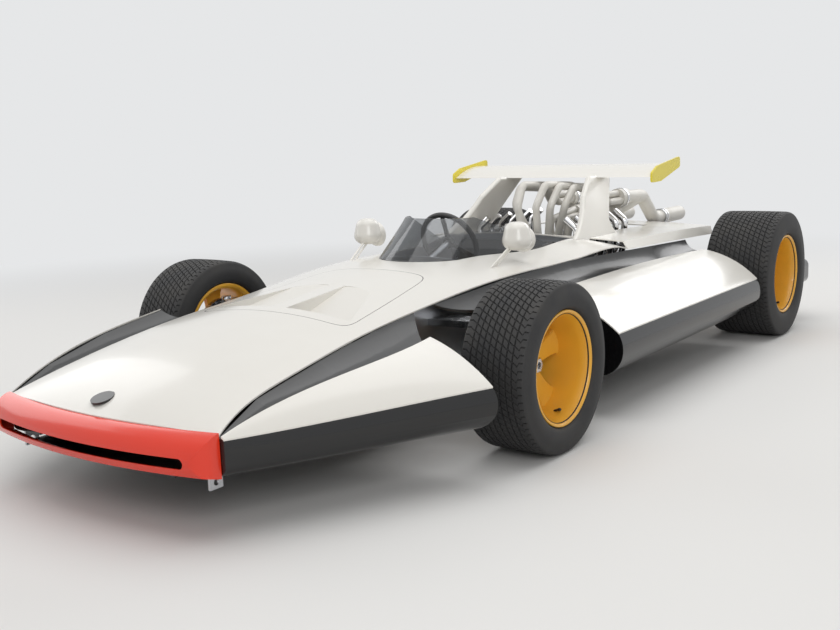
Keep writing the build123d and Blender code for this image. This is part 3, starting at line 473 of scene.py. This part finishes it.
# Wheels. Deep cast rims with five flared spokes, painted yellow, each held by one hexagonal nut on a washer.
# A rolled lip, a stepped barrel and a short valve are on the open side.
lip_radius, barrel_radius = 0.206, 0.181
star_inset, star_thick, spokes = 0.074, 0.024, 5
spoke_start, spoke_half, spoke_flare = 0.030, 0.020, 0.027
foot_start, foot_length, foot_spread = 0.145, 0.036, 0.010
lift_start, lift_length, lift_height = 0.10, 0.08, 0.014
valve_offset, valve_lean = (-0.075, 0.05, -0.1725), (1, -0.2, 0.35)
# Along the valve, radius.
valve_profile = [(0, 0.0), (0.0, 0.004), (0.020, 0.0045), (0.022, 0.006), (0.032, 0.006), (0.034, 0.0)]
# Side of the spoke, step sideways, depth behind its front: a bar with its front edges rolled over.
spoke_section = np.array([(-1, 0, 0.022), (-1, 0, 0.005), (-1, 0.004, 0), (0, 0, -0.004), (1, -0.004, 0),
                          (1, 0, 0.005), (1, 0, 0.022), (-1, 0, 0.022)])
yellow, *_ = lacquer("wheel_yellow", (0.82, 0.42, 0.035), (0.50, 0.27, 0.06), 0.34, 0.3)
dress(yellow, "front_rim_left", "front_rim_right", "rear_rim_left", "rear_rim_right")


def rim_surface(width, origin, out):
    """The turned barrel and hub, each a profile of depth from the open side and radius, and the spokes: a
    section that widens and sinks back as it is carried outwards from the hub."""
    back = width - star_inset
    front = back - star_thick
    ring = rounded([(0.006, lip_radius - 0.001), (0.0, lip_radius - 0.001), (0.0, lip_radius - 0.008),
                    (0.006, 0.193), (0.016, 0.189), (0.045, barrel_radius), (front, barrel_radius - 0.003),
                    (width - 0.02, barrel_radius - 0.002), (width, 0.192), (width, lip_radius),
                    (width - 0.008, lip_radius), (width - 0.008, 0.190), (width - 0.05, 0.188),
                    (0.05, 0.188), (0.008, 0.190), (0.008, lip_radius - 0.001),
                    (0.006, lip_radius - 0.001)], 2)
    ring[-1] = ring[0]
    hub = rounded([(back + 0.004, 0.0), (back + 0.004, 0.062), (back - 0.012, 0.066), (front, 0.056),
                   (front - 0.010, 0.044), (front - 0.012, 0.0)], 2)
    grids = [turned(ring * [-out, 1], origin, count=96), turned(hub * [-out, 1], origin, count=60)]
    reach = np.linspace(spoke_start, barrel_radius + 0.001, 14)[:, None]
    foot = np.clip((reach - foot_start) / foot_length, 0, 1)
    half = spoke_half + spoke_flare * reach / barrel_radius + foot_spread * foot ** 2
    lift = lift_height * np.clip((reach - lift_start) / lift_length, 0, 1) ** 2
    across = half * spoke_section[:, 0] + spoke_section[:, 1]
    depth = front + spoke_section[:, 2] - lift * (spoke_section[:, 2] < 0.02)
    for k in range(spokes):
        turn = np.radians(90 + 360 * k / spokes)
        radial, sideways = np.array([[0, np.cos(turn), np.sin(turn)], [0, -np.sin(turn), np.cos(turn)]])
        grids.append(origin + reach[..., None] * radial + across[..., None] * sideways
                     - out * depth[..., None] * np.array([1.0, 0, 0]))
    return grids


for end in ("front", "rear"):
    for side, out in (("left", 1), ("right", -1)):
        name, body = f"{end}_rim_{side}", f"{end}_wheel_{side}"
        low, high = (np.array(corner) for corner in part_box(name))
        width = high[0] - low[0]
        origin = (low + high) / 2 + [out * width / 2, 0, 0]
        front = width - star_inset - star_thick
        piece(f"{name}_casting", rim_surface(width, origin, out), yellow, body, (name,), 30)
        nut = [(front + 0.004, 0.030), (front - 0.030, 0.030), (front - 0.034, 0.026),
               (front - 0.034, 0.014), (front - 0.020, 0.012), (front - 0.020, 0.0)]
        washer = [(front + 0.004, 0.040), (front - 0.014, 0.040), (front - 0.016, 0.036),
                  (front - 0.016, 0.02)]
        piece(f"{name}_nut", [turned(np.array(nut) * [-out, 1], origin, count=6),
                              turned(np.array(washer) * [-out, 1], origin, count=40)],
              steel, body, (), 30)
        valve = turned(rounded(valve_profile, 1), origin + np.array(valve_offset) * [out, 1, 1],
                       np.array(valve_lean) * [out, 1, 1], 16)
        piece(f"{name}_valve", [valve], plug, body)

# Springs. A coil spring, wound from round steel wire and painted yellow, surrounds each rear damper and is
# held by the seats at its ends.
damper_top, damper_run = np.array([0.1203, 1.655, 0.385]), np.array([0.5077, -0.044, -0.150])
coil_radius, wire_radius, coil_turns = 0.037, 0.006, 8
coil_start, coil_share = 0.25, 0.55
helices = []
for side in (1, -1):
    top, run = damper_top * [side, 1, 1], damper_run * [side, 1, 1]
    axis = run / np.linalg.norm(run)
    across = np.cross(axis, [0, 0, 1])
    across /= np.linalg.norm(across)
    lift = np.cross(axis, across)
    turn = np.linspace(0, 2 * np.pi * coil_turns, 200)[:, None]
    radial = np.cos(turn) * across + np.sin(turn) * lift
    core_line = top + run * (coil_start + coil_share * turn / turn[-1]) + coil_radius * radial
    around = np.linspace(0, 2 * np.pi, 11)[None, :, None]
    helices.append(core_line[:, None] + wire_radius * (np.cos(around) * radial[:, None]
                                                       + np.sin(around) * axis))
piece("spring_coils", helices, yellow, "chassis")

# Brake calipers. A cast alloy block with rounded corners straddles each disc. The front ones are bolted to
# the uprights and steer with them, and the rear ones to the uprights behind.
front_caliper_at, front_caliper_size = (0.748, -0.735, 0.305), (0.062, 0.062, 0.120)
rear_caliper_at, rear_caliper_size = (0.672, 1.668, 0.328), (0.062, 0.060, 0.120)


def block_of(centre, size, roundness=4.0, rows=16, columns=28):
    """A block with rounded corners: a sphere's sines and cosines raised to a low power, then stretched."""
    def squared(value):
        return np.sign(value) * np.abs(value) ** (2 / roundness)
    rise = np.linspace(-np.pi / 2, np.pi / 2, rows)[:, None]
    around = np.linspace(0, 2 * np.pi, columns + 1)[None, :]
    ball = np.stack([squared(np.cos(rise)) * squared(np.cos(around)),
                     squared(np.cos(rise)) * squared(np.sin(around)),
                     squared(np.sin(rise)) + 0 * around], -1)
    return np.array(centre) + np.array(size) / 2 * ball


for side, out in (("left", 1), ("right", -1)):
    mirrored = np.array([out, 1, 1])
    piece(f"front_caliper_{side}", [block_of(front_caliper_at * mirrored, front_caliper_size)], cast,
          f"steer_{side}")
    piece(f"rear_caliper_{side}", [block_of(rear_caliper_at * mirrored, rear_caliper_size)], cast, "chassis")

# Wing end plates and tail lamps. The plates are flat sheet, painted lemon yellow and screwed to the wing's
# ends; the lamps are moulded red lenses let into the rear bumper.
lemon, *_ = lacquer("plate_yellow", (0.80, 0.66, 0.03), (0.60, 0.50, 0.10), 0.26)
dress(lemon, "wing_plates")
lens, *_ = lacquer("lens_red", (0.45, 0.015, 0.012), (0.3, 0.05, 0.04), 0.12)
dress(lens, "tail_lamps")

# Dials. Four round instruments let into the dash, each a black bezel turned from alloy round a black face
# with pale marks.
dash_behind_column_end = 0.148
# Distance to the left, height and radius.
dial_rows = ((0.0, 0.522, 0.030), (-0.105, 0.520, 0.024), (0.105, 0.520, 0.024), (-0.175, 0.512, 0.018))
dial_ring, *_ = lacquer("dial_ring", (0.03, 0.03, 0.03), (0.1, 0.1, 0.1), 0.3)
dial_face, tree, shader = paint("dial_face", Roughness=0.25)
spot = tree.nodes.new("ShaderNodeTexCoord")
marks = wire(tree, "ShaderNodeTexVoronoi", [(spot.outputs["Object"], "Vector")], Scale=160.0)
marks = wire(tree, "ShaderNodeMapRange", [(marks.outputs["Distance"], "Value")], From_Min=0.10,
             From_Max=0.16)
mix = wire(tree, "ShaderNodeMix", [(marks.outputs[0], 0)], data_type="RGBA")
mix.inputs[6].default_value = (0.6, 0.6, 0.57, 1)
mix.inputs[7].default_value = (0.012, 0.012, 0.012, 1)
tree.links.new(mix.outputs[2], shader.inputs["Base Color"])
dash_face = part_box("steering_column")[0][1] + dash_behind_column_end
rings, faces = [], []
for x, z, radius in dial_rows:
    bezel = [(0, radius + 0.004), (0.010, radius + 0.004), (0.012, radius + 0.001), (0.010, radius - 0.002),
             (0.004, radius - 0.003), (0, radius - 0.003)]
    disc = [(0.0, radius - 0.002), (0.004, radius - 0.002), (0.004, 0.0)]
    rings.append(turned(bezel, (x, dash_face, z), (0, 1, 0), 40))
    faces.append(turned(disc, (x, dash_face, z), (0, 1, 0), 40))
piece("dial_bezels", rings, dial_ring, "chassis")
piece("dial_faces", faces, dial_face, "chassis")

# Shoulder straps. Two bands of dark blue webbing lie on the back of the seat's round hollow and draw
# together towards its foot.
hollow_low, hollow_high, hollow_radius = np.array([0, -0.023, 0.240]), np.array([0, 0.109, 0.700]), 0.230
strap_angle, strap_half_angle, strap_draw = 0.36, 0.095, 0.35
strap_start, strap_end, strap_clear, strap_top = 0.02, 0.36, 0.0005, 0.0028
webbing, tree, shader = paint("belt_webbing", Base_Color=(0.05, 0.07, 0.22), Roughness=0.8)
spot = tree.nodes.new("ShaderNodeTexCoord")
weave = wire(tree, "ShaderNodeTexWave", [(spot.outputs["Object"], "Vector")], Scale=220.0, Distortion=1.0)
bump = wire(tree, "ShaderNodeBump", [(weave.outputs["Fac"], "Height")], Strength=0.4, Distance=0.001)
tree.links.new(bump.outputs[0], shader.inputs["Normal"])
hollow_axis = (hollow_high - hollow_low) / np.linalg.norm(hollow_high - hollow_low)
hollow_back = np.array([0, hollow_axis[2], -hollow_axis[1]])
straps = []
for centre in (-strap_angle, strap_angle):
    rise = np.linspace(strap_start, strap_end, 30)[:, None, None]
    edges = strap_half_angle * np.array([-1, 1, 1, -1, -1])[None, :, None]
    spread = centre * (1 - strap_draw * (1 - rise / strap_end)) + edges
    depths = np.array([strap_clear, strap_clear, strap_top, strap_top, strap_clear])[None, :, None]
    around = np.cos(spread) * hollow_back + np.sin(spread) * np.array([1.0, 0, 0])
    straps.append(hollow_low + rise * hollow_axis + (hollow_radius - depths) * around)
piece("shoulder_straps", straps, webbing, "chassis")

# Mirrors. Each white pod is open at the back, with a rolled rim round a silvered disc of glass. They turn
# slightly inwards and up to the driver.
mirror_at, mirror_turn = (0.403, -0.217, 0.668), (-0.12, 1, 0.05)
# Along the mirror's axis, radius.
rim_profile = [(0.020, 0.040), (0.052, 0.056), (0.062, 0.057), (0.064, 0.054), (0.060, 0.052), (0.02, 0.04)]
glass_profile = [(0.058, 0.0), (0.060, 0.0), (0.060, 0.0525), (0.058, 0.0525), (0.058, 0.0)]
mirror_glass, tree, shader = paint("mirror_glass", Base_Color=(0.85, 0.86, 0.87), Metallic=1.0,
                                   Roughness=0.03)
backs, glasses = [], []
for side in (-1, 1):
    centre, axis = mirror_at * np.array([side, 1, 1]), mirror_turn * np.array([side, 1, 1])
    backs.append(turned(rim_profile, centre, axis, 48))
    glasses.append(turned(glass_profile, centre, axis, 48))
piece("mirror_backs", backs, white, "chassis")
piece("mirror_glasses", glasses, mirror_glass, "chassis")

# Screen. One sheet of clear acrylic, warmed and wrapped round the front of the cockpit, slightly smoked and
# screwed to the body along its lower edge.
clear, tree, shader = paint("smoked_acrylic", Base_Color=(0.34, 0.35, 0.36), Roughness=0.03, IOR=1.49,
                            Transmission_Weight=1.0)
dress(clear, "windscreen")
